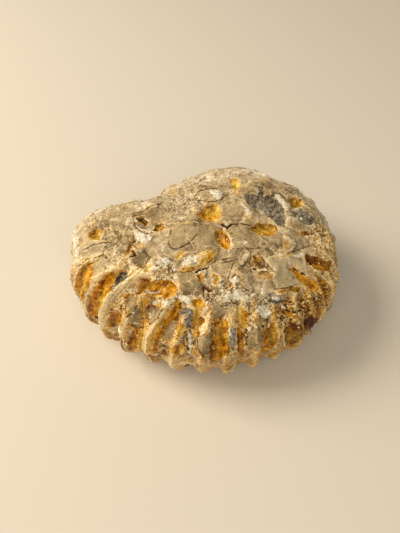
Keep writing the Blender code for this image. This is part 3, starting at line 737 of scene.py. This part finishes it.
height = limestone_facets * (1 - PLATE_SMOOTHNESS * in_plates) + sand_relief
height += mineral_facets * np.maximum.reduce((CALCITE_FACETED * in_calcite, in_crystals, SHELL_FACETED * in_white))
height += PLATES_UP * in_plates + SHELL_UP * in_white - CRYSTALS_DOWN * in_crystals
height -= (POCKET_STEP * in_calcite + POCKET_DEPTH * deep_in_calcite) * (1 - HOLLOW_SHALLOWER * rib_zone)
lip = LIP_UP * np.exp(-(((calcite - LIP_OUTSIDE) / LIP_WIDTH) ** 2))
height += lip * (1 - rib_zone) * smooth_step(*LIP_ENDS, patches(*LIP_PATCHES))
height -= PITS_DOWN * smooth_step(*PITS_DEEPEN, pits)
rib_height = RIB_SHARPENING * np.clip(rib_relief, *RIB_LIMITS)
height += rib_height * rib_zone * smooth_step(*FLANK_FACING, broad_normals[:, 2])
height += LINE_RELIEF * (line_tone - LEVEL_TONE) * smooth_step(-LINE_FADES, 0, line_nearness)

lowest, highest = (np.array(corner) / MM for corner in cad_box)
points = np.clip(points + broad_normals * height[:, None], lowest, highest)
edge_relief = ((points - evened(points, EDGE_ROUNDS)) * surface_normals(points)).sum(1)
room = np.minimum(points - lowest, highest - points).min(axis=1)  # mm to the solid's box, for the grains

look_fields = {
    "calcite": calcite, "calcite_tone": tone, "olive": olive, "crystals": crystals, "white_shell": white,
    "plates": plates, "pits": pits, "glaze": glaze, "glaze_tone": glaze_tone, "line_nearness": line_nearness,
    "line_aside": line_aside, "line_tone": line_tone, "rib_relief": rib_relief, "edge_relief": edge_relief,
    "lightness": lightness, "stain": stain, "speckle": speckle,
}
grain_fields = {"crumbs": crumbs, "room": room}
for name, values in (look_fields | grain_fields).items():
    stored = fossil.data.attributes.new(name, "FLOAT", "POINT")
    stored.data.foreach_set("value", values.astype(np.float32))


def linear(hex_colour):
    """An sRGB hex colour as linear RGBA."""
    parts = [int(hex_colour[i:i + 2], 16) / 255 for i in (1, 3, 5)]
    return [p / 12.92 if p <= 0.04045 else ((p + 0.055) / 1.055) ** 2.4 for p in parts] + [1.0]


def add_node(tree, kind, inputs=(), stops=(), **settings):
    """Adds a node with its own settings, feeds its inputs from sockets or values, and sets a ramp's stops."""
    node = tree.nodes.new(kind)
    for name, value in settings.items():
        setattr(node, name, value)
    for name, value in dict(inputs).items():
        if isinstance(value, bpy.types.NodeSocket):
            tree.links.new(value, node.inputs[name])
        else:
            node.inputs[name].default_value = value
    for number, (position, colour) in enumerate(stops):
        if number >= len(node.color_ramp.elements):
            node.color_ramp.elements.new(position)
        node.color_ramp.elements[number].position = position
        node.color_ramp.elements[number].color = linear(colour)
    return node


# The stone's look. Streaks run round the coil's axis, and all sizes are millimetres on the real thing.
COIL_AXIS = 7.3 * MM, 6.8 * MM
STREAK_RADIUS = 45 * MM  # at which a streak is as wide as its pattern says
STREAK_STRETCH = 0.25
STONE_IOR, WEATHERED_GLOSS = 1.5, 0.22  # its gloss is dulled by dust in the broken faces
MATRIX_ROUGHNESS, BUMP_STRENGTH = 0.85, 0.8
LINE_HALF_WIDTH, LIP_HALF_WIDTH, LINE_REACH = 0.13, 0.26, 0.9  # mm: of a dark line, and of a cream lip, which is partly a painted highlight
VEIN_HALF_WIDTH, VEIN_SPACING, VEIN_BEND, VEIN_BEND_SIZE = 0.02, 7, 5, 4  # mm
CREST_HEIGHT = 0.4  # mm above the mean surface from which a rib is a crest
SPECKS, LEAST_SPECKS = 0.7, 0.35  # how strong they are where the stone is speckled, and everywhere
WASHED, EDGE_LIGHT = 0.5, 1.6  # how much of a wash, and of each mm of an edge, goes into the shade
STAIN_BEGINS, STAIN_FULL = 0.1, 0.8
LIMESTONE = ((0, "#64533B"), (0.3, "#998462"), (0.5, "#B9A480"), (0.75, "#D8C7A8"), (1, "#FAF3E4"))
STAINED = ((0, "#442606"), (0.25, "#885A14"), (0.5, "#C4923E"), (0.75, "#E9C47E"), (1, "#FEEBBE"))
# What lies on the limestone, from the bottom layer up: (depth inside it, half width in mm of its edge, how ragged
# the edge is, ramp of colours, tone on it, patterns of (kind, size in mm, amount), roughness, bump in mm)
SUBSTANCES = (
    # Shell turned to golden-cream calcite on the crests and lips: chalky, speckled with brown
    ("crests", 0.35, 1.0,
     ((0, "#764A0E"), (0.25, "#BC882C"), (0.5, "#EABF70"), (0.75, "#FCDFA0"), (1, "#FFF1C8")), "washed",
     (("streaks", 1.3, 0.5), ("cells", 0.8, 0.3), ("noise", 0.55, 0.9)), 0.6, 0.12),
    # Split faces of fine limestone: even grey-beige with a fine grain, a little smoother
    ("plates", 0.12, 0.5,
     ((0, "#6F5D40"), (0.25, "#8F7B57"), (0.5, "#B39D76"), (0.75, "#C9B48D"), (1, "#E6D6B2")), "washed",
     (("noise", 6, 0.5), ("noise", 1.6, 0.35), ("noise", 0.5, 0.55)), 0.75, 0.05),
    # Thin veins between the broken faces, cream or brown
    ("veins", 0.1, 0.0,
     ((0, "#5A4320"), (0.35, "#A3844F"), (0.55, "#DCC596"), (1, "#F8EED4")), 0.55,
     (("noise", 5, 0.9),), 0.7, 0.05),
    # Smooth calcite on the rim: translucent, honey brown to cream
    ("glaze", 0.5, 1.2,
     ((0, "#4A1C03"), (0.25, "#7F4F16"), (0.5, "#BA8E46"), (0.75, "#DFC692"), (1, "#FBF1D6")), "glaze_tone",
     (("noise", 3, 0.5), ("noise", 0.8, 0.3)), 0.35, 0.04),
    # Honey calcite: glassy, dark brown in its shaded corners to bright gold
    ("calcite", 0.28, 0.9,
     ((0, "#4A1B02"), (0.2, "#643304"), (0.38, "#8A5605"), (0.52, "#B17309"), (0.66, "#D49412"),
      (0.82, "#EBB232"), (1, "#F9DC8A")), "calcite_tone",
     (("streaks", 2.4, 0.5), ("noise", 2.2, 0.6), ("noise", 0.6, 0.45)), 0.25, 0.08),
    # The same calcite where it is olive or pale yellow
    ("olive", 0.5, 0.8,
     ((0, "#2C1D06"), (0.2, "#5E430D"), (0.4, "#936B18"), (0.58, "#C0922E"), (0.78, "#E3BD54"),
      (1, "#FAE8A0")), "calcite_tone",
     (("streaks", 2.4, 0.45), ("noise", 2.2, 0.5), ("noise", 0.6, 0.38)), 0.25, 0.08),
    # Small dark crystals: grey, each turned its own way, some glinting pale
    ("crystals", 0.2, 0.7,
     ((0, "#2F2B1C"), (0.25, "#5C5440"), (0.42, "#7F745F"), (0.65, "#A0947F"), (1, "#E4DCCD")), "washed",
     (("noise", 2.0, 0.45), ("noise", 0.6, 0.4), ("cells", 0.8, 0.28)), 0.4, 0.12),
    # White shell, crumbled: bright, matt, with dark gaps between its grains
    ("white_shell", 0.2, 1.0,
     ((0, "#7C6238"), (0.25, "#C2AB80"), (0.5, "#E9DEC2"), (0.8, "#F9F3E4"), (1, "#FFFDF6")), 0.6,
     (("noise", 1.2, 0.4), ("noise", 0.55, 1.0)), 0.6, 0.14),
    # Pits, with dark earth in them; the ones under the shard, beside the crystals and by the facet in shadow are
    # painted shadow
    ("pits", 0.15, 0.5, ((0, "#1E1208"), (1, "#5A3D18")), 0.4, (("noise", 0.6, 0.8),), 0.9, 0.10),
    # Lines: cracks with earth in them, brown growth lines and cream edges of the shell, partly painted highlights
    ("lines", 0.14, 0.0,
     ((0, "#241808"), (0.3, "#5E4119"), (0.55, "#A67C38"), (0.8, "#DDBF80"), (1, "#F6E8C4")), "line_tone",
     (("noise", 1.0, 0.4),), 0.7, 0.0),
)


def pattern_sum(tree, places, start, patterns):
    """Adds patterns of (kind, size in mm, amount), each about 0 in the mean, to a value or socket."""
    total = start
    for kind, size, amount in patterns:
        inputs = {"Vector": places[kind], "Scale": 1 / (size * MM)}
        if kind == "cells":
            texture = add_node(tree, "ShaderNodeTexVoronoi", inputs)
        else:
            texture = add_node(tree, "ShaderNodeTexNoise", {**inputs, "Detail": 3.0})
        from_mean = add_node(tree, "ShaderNodeMath", {
            0: texture.outputs["Color" if kind == "cells" else 0], 1: 0.5,
        }, operation="SUBTRACT")
        total = add_node(tree, "ShaderNodeMath", {
            0: from_mean.outputs[0], 1: amount * 2, 2: total,
        }, operation="MULTIPLY_ADD").outputs[0]
    return total


stone = bpy.data.materials.new("limestone_shell_and_honey_calcite")
stone.use_nodes = True
tree = stone.node_tree
shader = tree.nodes["Principled BSDF"]
place = add_node(tree, "ShaderNodeTexCoord").outputs["Object"]
from_axis = add_node(tree, "ShaderNodeVectorMath", {0: place, 1: (*COIL_AXIS, 0)}, operation="SUBTRACT").outputs[0]
x_y_z = add_node(tree, "ShaderNodeSeparateXYZ", {0: from_axis}).outputs
round_axis = add_node(tree, "ShaderNodeMath", {0: x_y_z[1], 1: x_y_z[0]}, operation="ARCTAN2").outputs[0]
streak_place = add_node(tree, "ShaderNodeCombineXYZ", {
    0: add_node(tree, "ShaderNodeMath", {0: round_axis, 1: STREAK_RADIUS}, operation="MULTIPLY").outputs[0],
    1: add_node(tree, "ShaderNodeMath", {
        0: add_node(tree, "ShaderNodeVectorMath", {0: from_axis}, operation="LENGTH").outputs["Value"],
        1: STREAK_STRETCH,
    }, operation="MULTIPLY").outputs[0],
})
places = {"noise": place, "cells": place, "streaks": streak_place.outputs[0]}
reads = {
    name: add_node(tree, "ShaderNodeAttribute", attribute_name=name).outputs["Fac"] for name in look_fields
}

# Sandy limestone: matt, mottled grey-beige, with cream and brown specks of the size of sand
shade = pattern_sum(tree, places, 0.5, (("noise", 9, 0.3), ("noise", 2.5, 0.45)))
specks = pattern_sum(tree, places, 0.0, (("noise", 0.6, 1.1), ("cells", 0.8, 0.3)))
speck_strength = add_node(tree, "ShaderNodeMath", {
    0: reads["speckle"], 1: SPECKS, 2: LEAST_SPECKS,
}, operation="MULTIPLY_ADD").outputs[0]
for part, factor in (
    (specks, speck_strength), (reads["lightness"], WASHED), (reads["edge_relief"], EDGE_LIGHT),
):
    shade = add_node(tree, "ShaderNodeMath", {0: part, 1: factor, 2: shade}, operation="MULTIPLY_ADD").outputs[0]
clean = add_node(tree, "ShaderNodeValToRGB", {0: shade}, LIMESTONE).outputs["Color"]
stained = add_node(tree, "ShaderNodeValToRGB", {0: shade}, STAINED).outputs["Color"]
blotches = pattern_sum(tree, places, reads["stain"], (("noise", 2.5, 0.8), ("noise", 0.8, 0.5)))
stain_share = add_node(tree, "ShaderNodeMapRange", {0: blotches, 1: STAIN_BEGINS, 2: STAIN_FULL}).outputs[0]
colour = add_node(tree, "ShaderNodeMix", {0: stain_share, 6: clean, 7: stained}, data_type="RGBA").outputs[2]
roughness = MATRIX_ROUGHNESS
bump = pattern_sum(tree, places, 0.0, (("noise", 0.5, 0.10), ("noise", 1.5, 0.06)))
edge_ripple = pattern_sum(tree, places, 0.0, (("noise", 2.0, 0.5), ("noise", 0.7, 0.6)))
reads["crests"] = add_node(tree, "ShaderNodeMath", {
    0: reads["rib_relief"], 1: CREST_HEIGHT,
}, operation="SUBTRACT").outputs[0]
reads["washed"] = add_node(tree, "ShaderNodeMath", {
    0: reads["lightness"], 1: WASHED, 2: 0.5,
}, operation="MULTIPLY_ADD").outputs[0]

# Veins run between the cells of a bent pattern
bent_place = add_node(tree, "ShaderNodeVectorMath", {
    0: add_node(tree, "ShaderNodeTexNoise", {"Vector": place, "Scale": 1 / (VEIN_BEND_SIZE * MM)}).outputs["Color"],
    1: [VEIN_BEND * MM] * 3, 2: place,
}, operation="MULTIPLY_ADD").outputs[0]
off_vein = add_node(tree, "ShaderNodeTexVoronoi", {"Vector": bent_place, "Scale": 1 / (VEIN_SPACING * MM)},
                    feature="DISTANCE_TO_EDGE").outputs["Distance"]
vein_width = pattern_sum(tree, places, VEIN_HALF_WIDTH, (("noise", 4, 0.9),))
reads["veins"] = add_node(tree, "ShaderNodeMath", {0: off_vein, 1: -VEIN_SPACING, 2: vein_width},
                          operation="MULTIPLY_ADD").outputs[0]

# Thin lines have one width on the surface, and end soon after their last point
off_line = add_node(tree, "ShaderNodeMath", {0: reads["line_aside"]}, operation="ABSOLUTE").outputs[0]
mean_width = add_node(tree, "ShaderNodeMath", {
    0: reads["line_tone"], 1: LIP_HALF_WIDTH - LINE_HALF_WIDTH, 2: LINE_HALF_WIDTH,
}, operation="MULTIPLY_ADD").outputs[0]
line_width = pattern_sum(tree, places, mean_width, (("noise", 1.5, 0.4),))
on_line = add_node(tree, "ShaderNodeMath", {0: line_width, 1: off_line}, operation="SUBTRACT").outputs[0]
near_line = add_node(tree, "ShaderNodeMath", {0: reads["line_nearness"], 1: LINE_REACH}, operation="ADD").outputs[0]
reads["lines"] = add_node(tree, "ShaderNodeMath", {0: on_line, 1: near_line}, operation="MINIMUM").outputs[0]

for name, edge, raggedness, stops, own_tone, patterns, own_roughness, own_bump in SUBSTANCES:
    inside = add_node(tree, "ShaderNodeMath", {0: edge_ripple, 1: raggedness, 2: reads[name]},
                      operation="MULTIPLY_ADD")
    mask = add_node(tree, "ShaderNodeMapRange", {0: inside.outputs[0], 1: -edge, 2: edge},
                    interpolation_type="SMOOTHSTEP").outputs[0]
    shade = pattern_sum(tree, places, reads.get(own_tone, own_tone), patterns)
    own_colour = add_node(tree, "ShaderNodeValToRGB", {0: shade}, stops).outputs["Color"]
    colour = add_node(tree, "ShaderNodeMix", {0: mask, 6: colour, 7: own_colour}, data_type="RGBA").outputs[2]
    roughness = add_node(tree, "ShaderNodeMix", {0: mask, 2: roughness, 3: own_roughness}).outputs[0]
    own_height = pattern_sum(tree, places, 0.0, (("cells", 0.8, own_bump), ("noise", 0.4, own_bump)))
    bump = add_node(tree, "ShaderNodeMix", {0: mask, 2: bump, 3: own_height}).outputs[0]

relief = add_node(tree, "ShaderNodeBump", {"Height": bump, "Distance": MM, "Strength": BUMP_STRENGTH})
tree.links.new(colour, shader.inputs["Base Color"])
tree.links.new(roughness, shader.inputs["Roughness"])
tree.links.new(relief.outputs[0], shader.inputs["Normal"])
shader.inputs["IOR"].default_value = STONE_IOR
shader.inputs["Specular IOR Level"].default_value = WEATHERED_GLOSS

fossil.data.materials.clear()
fossil.data.materials.append(stone)
fossil.data.shade_smooth()
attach(fossil, "root")
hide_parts("ammonite")

# Grains on the fossil
# Crumbs of limestone, splinters of calcite, flakes of shell and small dark crystals stand proud of its broken
# faces. Each is a small angular grain, half sunk in the surface and turned at random.

LEAST_PROPORTIONS = 0.55, 0.55, 0.7  # of a grain's half lengths to its size
LARGEST_PROPORTION = 1.25
LARGEST_TILT = 0.6  # radians from the surface's own direction

grain_tree = bpy.data.node_groups.new("grains_on_a_mark", "GeometryNodeTree")
grain_tree.interface.new_socket("Geometry", in_out="OUTPUT", socket_type="NodeSocketGeometry")
socket_ids = {
    name: grain_tree.interface.new_socket(name, in_out="INPUT", socket_type="NodeSocket" + kind).identifier
    for name, kind in (
        ("Geometry", "Geometry"), ("Mark", "String"), ("Least Depth", "Float"), ("Least Room", "Float"),
        ("Density", "Float"), ("Smallest", "Float"), ("Largest", "Float"), ("Flatness", "Float"),
        ("Seed", "Int"), ("Material", "Material"),
    )
}
given = add_node(grain_tree, "NodeGroupInput").outputs
mark_depth = add_node(grain_tree, "GeometryNodeInputNamedAttribute", {"Name": given["Mark"]}, data_type="FLOAT")
on_mark = add_node(grain_tree, "FunctionNodeCompare", {0: mark_depth.outputs[0], 1: given["Least Depth"]},
                   data_type="FLOAT", operation="GREATER_THAN")
room_round = add_node(grain_tree, "GeometryNodeInputNamedAttribute", {"Name": "room"}, data_type="FLOAT")
has_room = add_node(grain_tree, "FunctionNodeCompare", {0: room_round.outputs[0], 1: given["Least Room"]},
                    data_type="FLOAT", operation="GREATER_THAN")
carries_grains = add_node(grain_tree, "FunctionNodeBooleanMath", {0: on_mark.outputs[0], 1: has_room.outputs[0]},
                          operation="AND")
scattered = add_node(grain_tree, "GeometryNodeDistributePointsOnFaces", {
    "Mesh": given["Geometry"], "Selection": carries_grains.outputs[0], "Density": given["Density"],
    "Seed": given["Seed"],
})
grain_shape = add_node(grain_tree, "GeometryNodeMeshIcoSphere", {"Radius": 1.0, "Subdivisions": 1})
size = add_node(grain_tree, "FunctionNodeRandomValue", {
    2: given["Smallest"], 3: given["Largest"], "Seed": given["Seed"],
}, data_type="FLOAT")
proportions = add_node(grain_tree, "FunctionNodeRandomValue", {
    0: LEAST_PROPORTIONS, 1: [LARGEST_PROPORTION] * 3, "Seed": given["Seed"],
}, data_type="FLOAT_VECTOR")
flattened = add_node(grain_tree, "ShaderNodeCombineXYZ", {0: 1.0, 1: 1.0, 2: given["Flatness"]})
flat_proportions = add_node(grain_tree, "ShaderNodeVectorMath", {
    0: proportions.outputs[0], 1: flattened.outputs[0],
}, operation="MULTIPLY")
scale = add_node(grain_tree, "ShaderNodeVectorMath", {
    0: flat_proportions.outputs[0], "Scale": size.outputs[1],
}, operation="SCALE")
tilt = add_node(grain_tree, "FunctionNodeRandomValue", {
    0: (-LARGEST_TILT, -LARGEST_TILT, 0.0), 1: (LARGEST_TILT, LARGEST_TILT, math.tau), "Seed": given["Seed"],
}, data_type="FLOAT_VECTOR")
turn = add_node(grain_tree, "FunctionNodeEulerToRotation", {0: tilt.outputs[0]})
turned = add_node(grain_tree, "FunctionNodeRotateRotation", {
    0: scattered.outputs["Rotation"], 1: turn.outputs[0],
}, rotation_space="LOCAL")
grains = add_node(grain_tree, "GeometryNodeInstanceOnPoints", {
    "Points": scattered.outputs["Points"], "Instance": grain_shape.outputs["Mesh"],
    "Rotation": turned.outputs[0], "Scale": scale.outputs[0],
})
shade = add_node(grain_tree, "FunctionNodeRandomValue", {2: 0.0, 3: 1.0, "Seed": given["Seed"]}, data_type="FLOAT")
shaded = add_node(grain_tree, "GeometryNodeStoreNamedAttribute", {
    "Geometry": grains.outputs[0], "Name": "grain_shade", "Value": shade.outputs[1],
}, data_type="FLOAT", domain="INSTANCE")
real = add_node(grain_tree, "GeometryNodeRealizeInstances", {0: shaded.outputs[0]})
made = add_node(grain_tree, "GeometryNodeSetMaterial", {0: real.outputs[0], "Material": given["Material"]})
add_node(grain_tree, "NodeGroupOutput", {0: made.outputs[0]})

GRAINS = (
    # name, mark, least depth in it, grains to a square mm, smallest and largest half width in mm, flatness,
    # colours, roughness, material
    ("sand_grains", "crumbs", 0.38, 0.55, 0.12, 0.36, 0.7,
     ((0, "#6E4F22"), (0.25, "#A88552"), (0.6, "#CDB183"), (1, "#EBDDB9")), 0.8, "limestone_crumbs"),
    ("calcite_splinters", "calcite", 0.3, 0.14, 0.15, 0.45, 0.4,
     ((0, "#8A5E0C"), (0.3, "#B88012"), (0.7, "#DDA428"), (1, "#FADF96")), 0.2, "honey_calcite"),
    # Painted glints in part: the sparkles' near-white colour stands for glints of light, on grains that are also
    # glossy
    ("quartz_sparkles", "crumbs", 0.6, 0.4, 0.08, 0.22, 0.8,
     ((0, "#CDB27C"), (0.5, "#EFE0B8"), (1, "#FFFBF0")), 0.3, "quartz_with_painted_glints"),
    ("shell_flakes", "white_shell", -0.1, 1.1, 0.2, 0.6, 0.35,
     ((0, "#C6B08A"), (0.5, "#E8DCC0"), (1, "#FCF9F0")), 0.55, "white_shell"),
    ("dark_crystals", "crystals", 0.0, 1.2, 0.15, 0.45, 0.8,
     ((0, "#3A3224"), (0.5, "#675B48"), (0.9, "#857A67"), (1, "#CFC6B6")), 0.25, "smoky_quartz"),
)
for seed, grain in enumerate(GRAINS):
    name, mark, least, density, smallest, largest, flatness, stops, own_roughness, stuff = grain
    # Broken mineral: each grain has one shade, mottled a little, and shines more the glassier it is
    mineral = bpy.data.materials.new(stuff)
    mineral.use_nodes = True
    tree = mineral.node_tree
    shader = tree.nodes["Principled BSDF"]
    place = add_node(tree, "ShaderNodeTexCoord").outputs["Object"]
    own_shade = add_node(tree, "ShaderNodeAttribute", attribute_name="grain_shade").outputs["Fac"]
    mottled = pattern_sum(tree, {"noise": place}, own_shade, (("noise", 0.5, 0.3),))
    colour = add_node(tree, "ShaderNodeValToRGB", {0: mottled}, stops).outputs["Color"]
    tree.links.new(colour, shader.inputs["Base Color"])
    shader.inputs["Roughness"].default_value = own_roughness

    piece = bpy.data.objects.new(name, fossil.data)
    bpy.context.scene.collection.objects.link(piece)
    scatter = piece.modifiers.new("scatter", "NODES")
    scatter.node_group = grain_tree
    for socket, value in (
        ("Mark", mark), ("Least Depth", least), ("Least Room", largest * LARGEST_PROPORTION + 2 * GRID),
        ("Density", density / MM**2), ("Smallest", smallest * MM), ("Largest", largest * MM),
        ("Flatness", flatness), ("Seed", seed), ("Material", mineral),
    ):
        scatter[socket_ids[socket]] = value
    graph = bpy.context.evaluated_depsgraph_get()
    piece.data = bpy.data.meshes.new_from_object(
        piece.evaluated_get(graph), preserve_all_data_layers=True, depsgraph=graph,
    )
    piece.data.name = name
    piece.modifiers.clear()
    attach(piece, "root")

# The floor
# A plain pale sheet, not part of the fossil.

FLOOR_HALF_WIDTH = 2.0  # metres
FLOOR_COLOUR, FLOOR_ROUGHNESS = "#E4DDD2", 0.9  # matt paper

floor_mesh = bpy.data.meshes.new("floor")
floor_mesh.from_pydata(
    [(x * FLOOR_HALF_WIDTH, y * FLOOR_HALF_WIDTH, 0) for x, y in ((-1, -1), (1, -1), (1, 1), (-1, 1))],
    [], [(0, 1, 2, 3)],
)
floor = bpy.data.objects.new("floor", floor_mesh)
bpy.context.scene.collection.objects.link(floor)
paper = bpy.data.materials.new("pale_paper")
paper.use_nodes = True
shader = paper.node_tree.nodes["Principled BSDF"]
shader.inputs["Base Color"].default_value = linear(FLOOR_COLOUR)
shader.inputs["Roughness"].default_value = FLOOR_ROUGHNESS
floor_mesh.materials.append(paper)

# Soft studio light
# A large soft window at the back left, a weaker one in front, and pale walls all round.

LAMPS = (
    # name, place in metres, width in metres, watts, colour
    ("window", (-0.50, 0.08, 0.48), 0.40, 4.4, "#FFF1DA"),
    ("fill", (0.00, -0.55, 0.55), 0.60, 2.0, "#FFF4DE"),
)
WALLS = "#FFF5E0"
WALL_LIGHT = 0.26

for name, lamp_place, width, watts, tint in LAMPS:
    lamp = bpy.data.lights.new(name, "AREA")
    lamp.size = width
    lamp.energy = watts
    lamp.color = linear(tint)[:3]
    holder = bpy.data.objects.new(name, lamp)
    holder.location = lamp_place
    holder.rotation_euler = (-Vector(lamp_place)).to_track_quat("-Z", "Y").to_euler()
    bpy.context.scene.collection.objects.link(holder)

walls = bpy.data.worlds.new("walls")
walls.use_nodes = True
walls.node_tree.nodes["Background"].inputs["Color"].default_value = linear(WALLS)
walls.node_tree.nodes["Background"].inputs["Strength"].default_value = WALL_LIGHT
bpy.context.scene.world = walls
bpy.context.scene.view_settings.view_transform = "Standard"
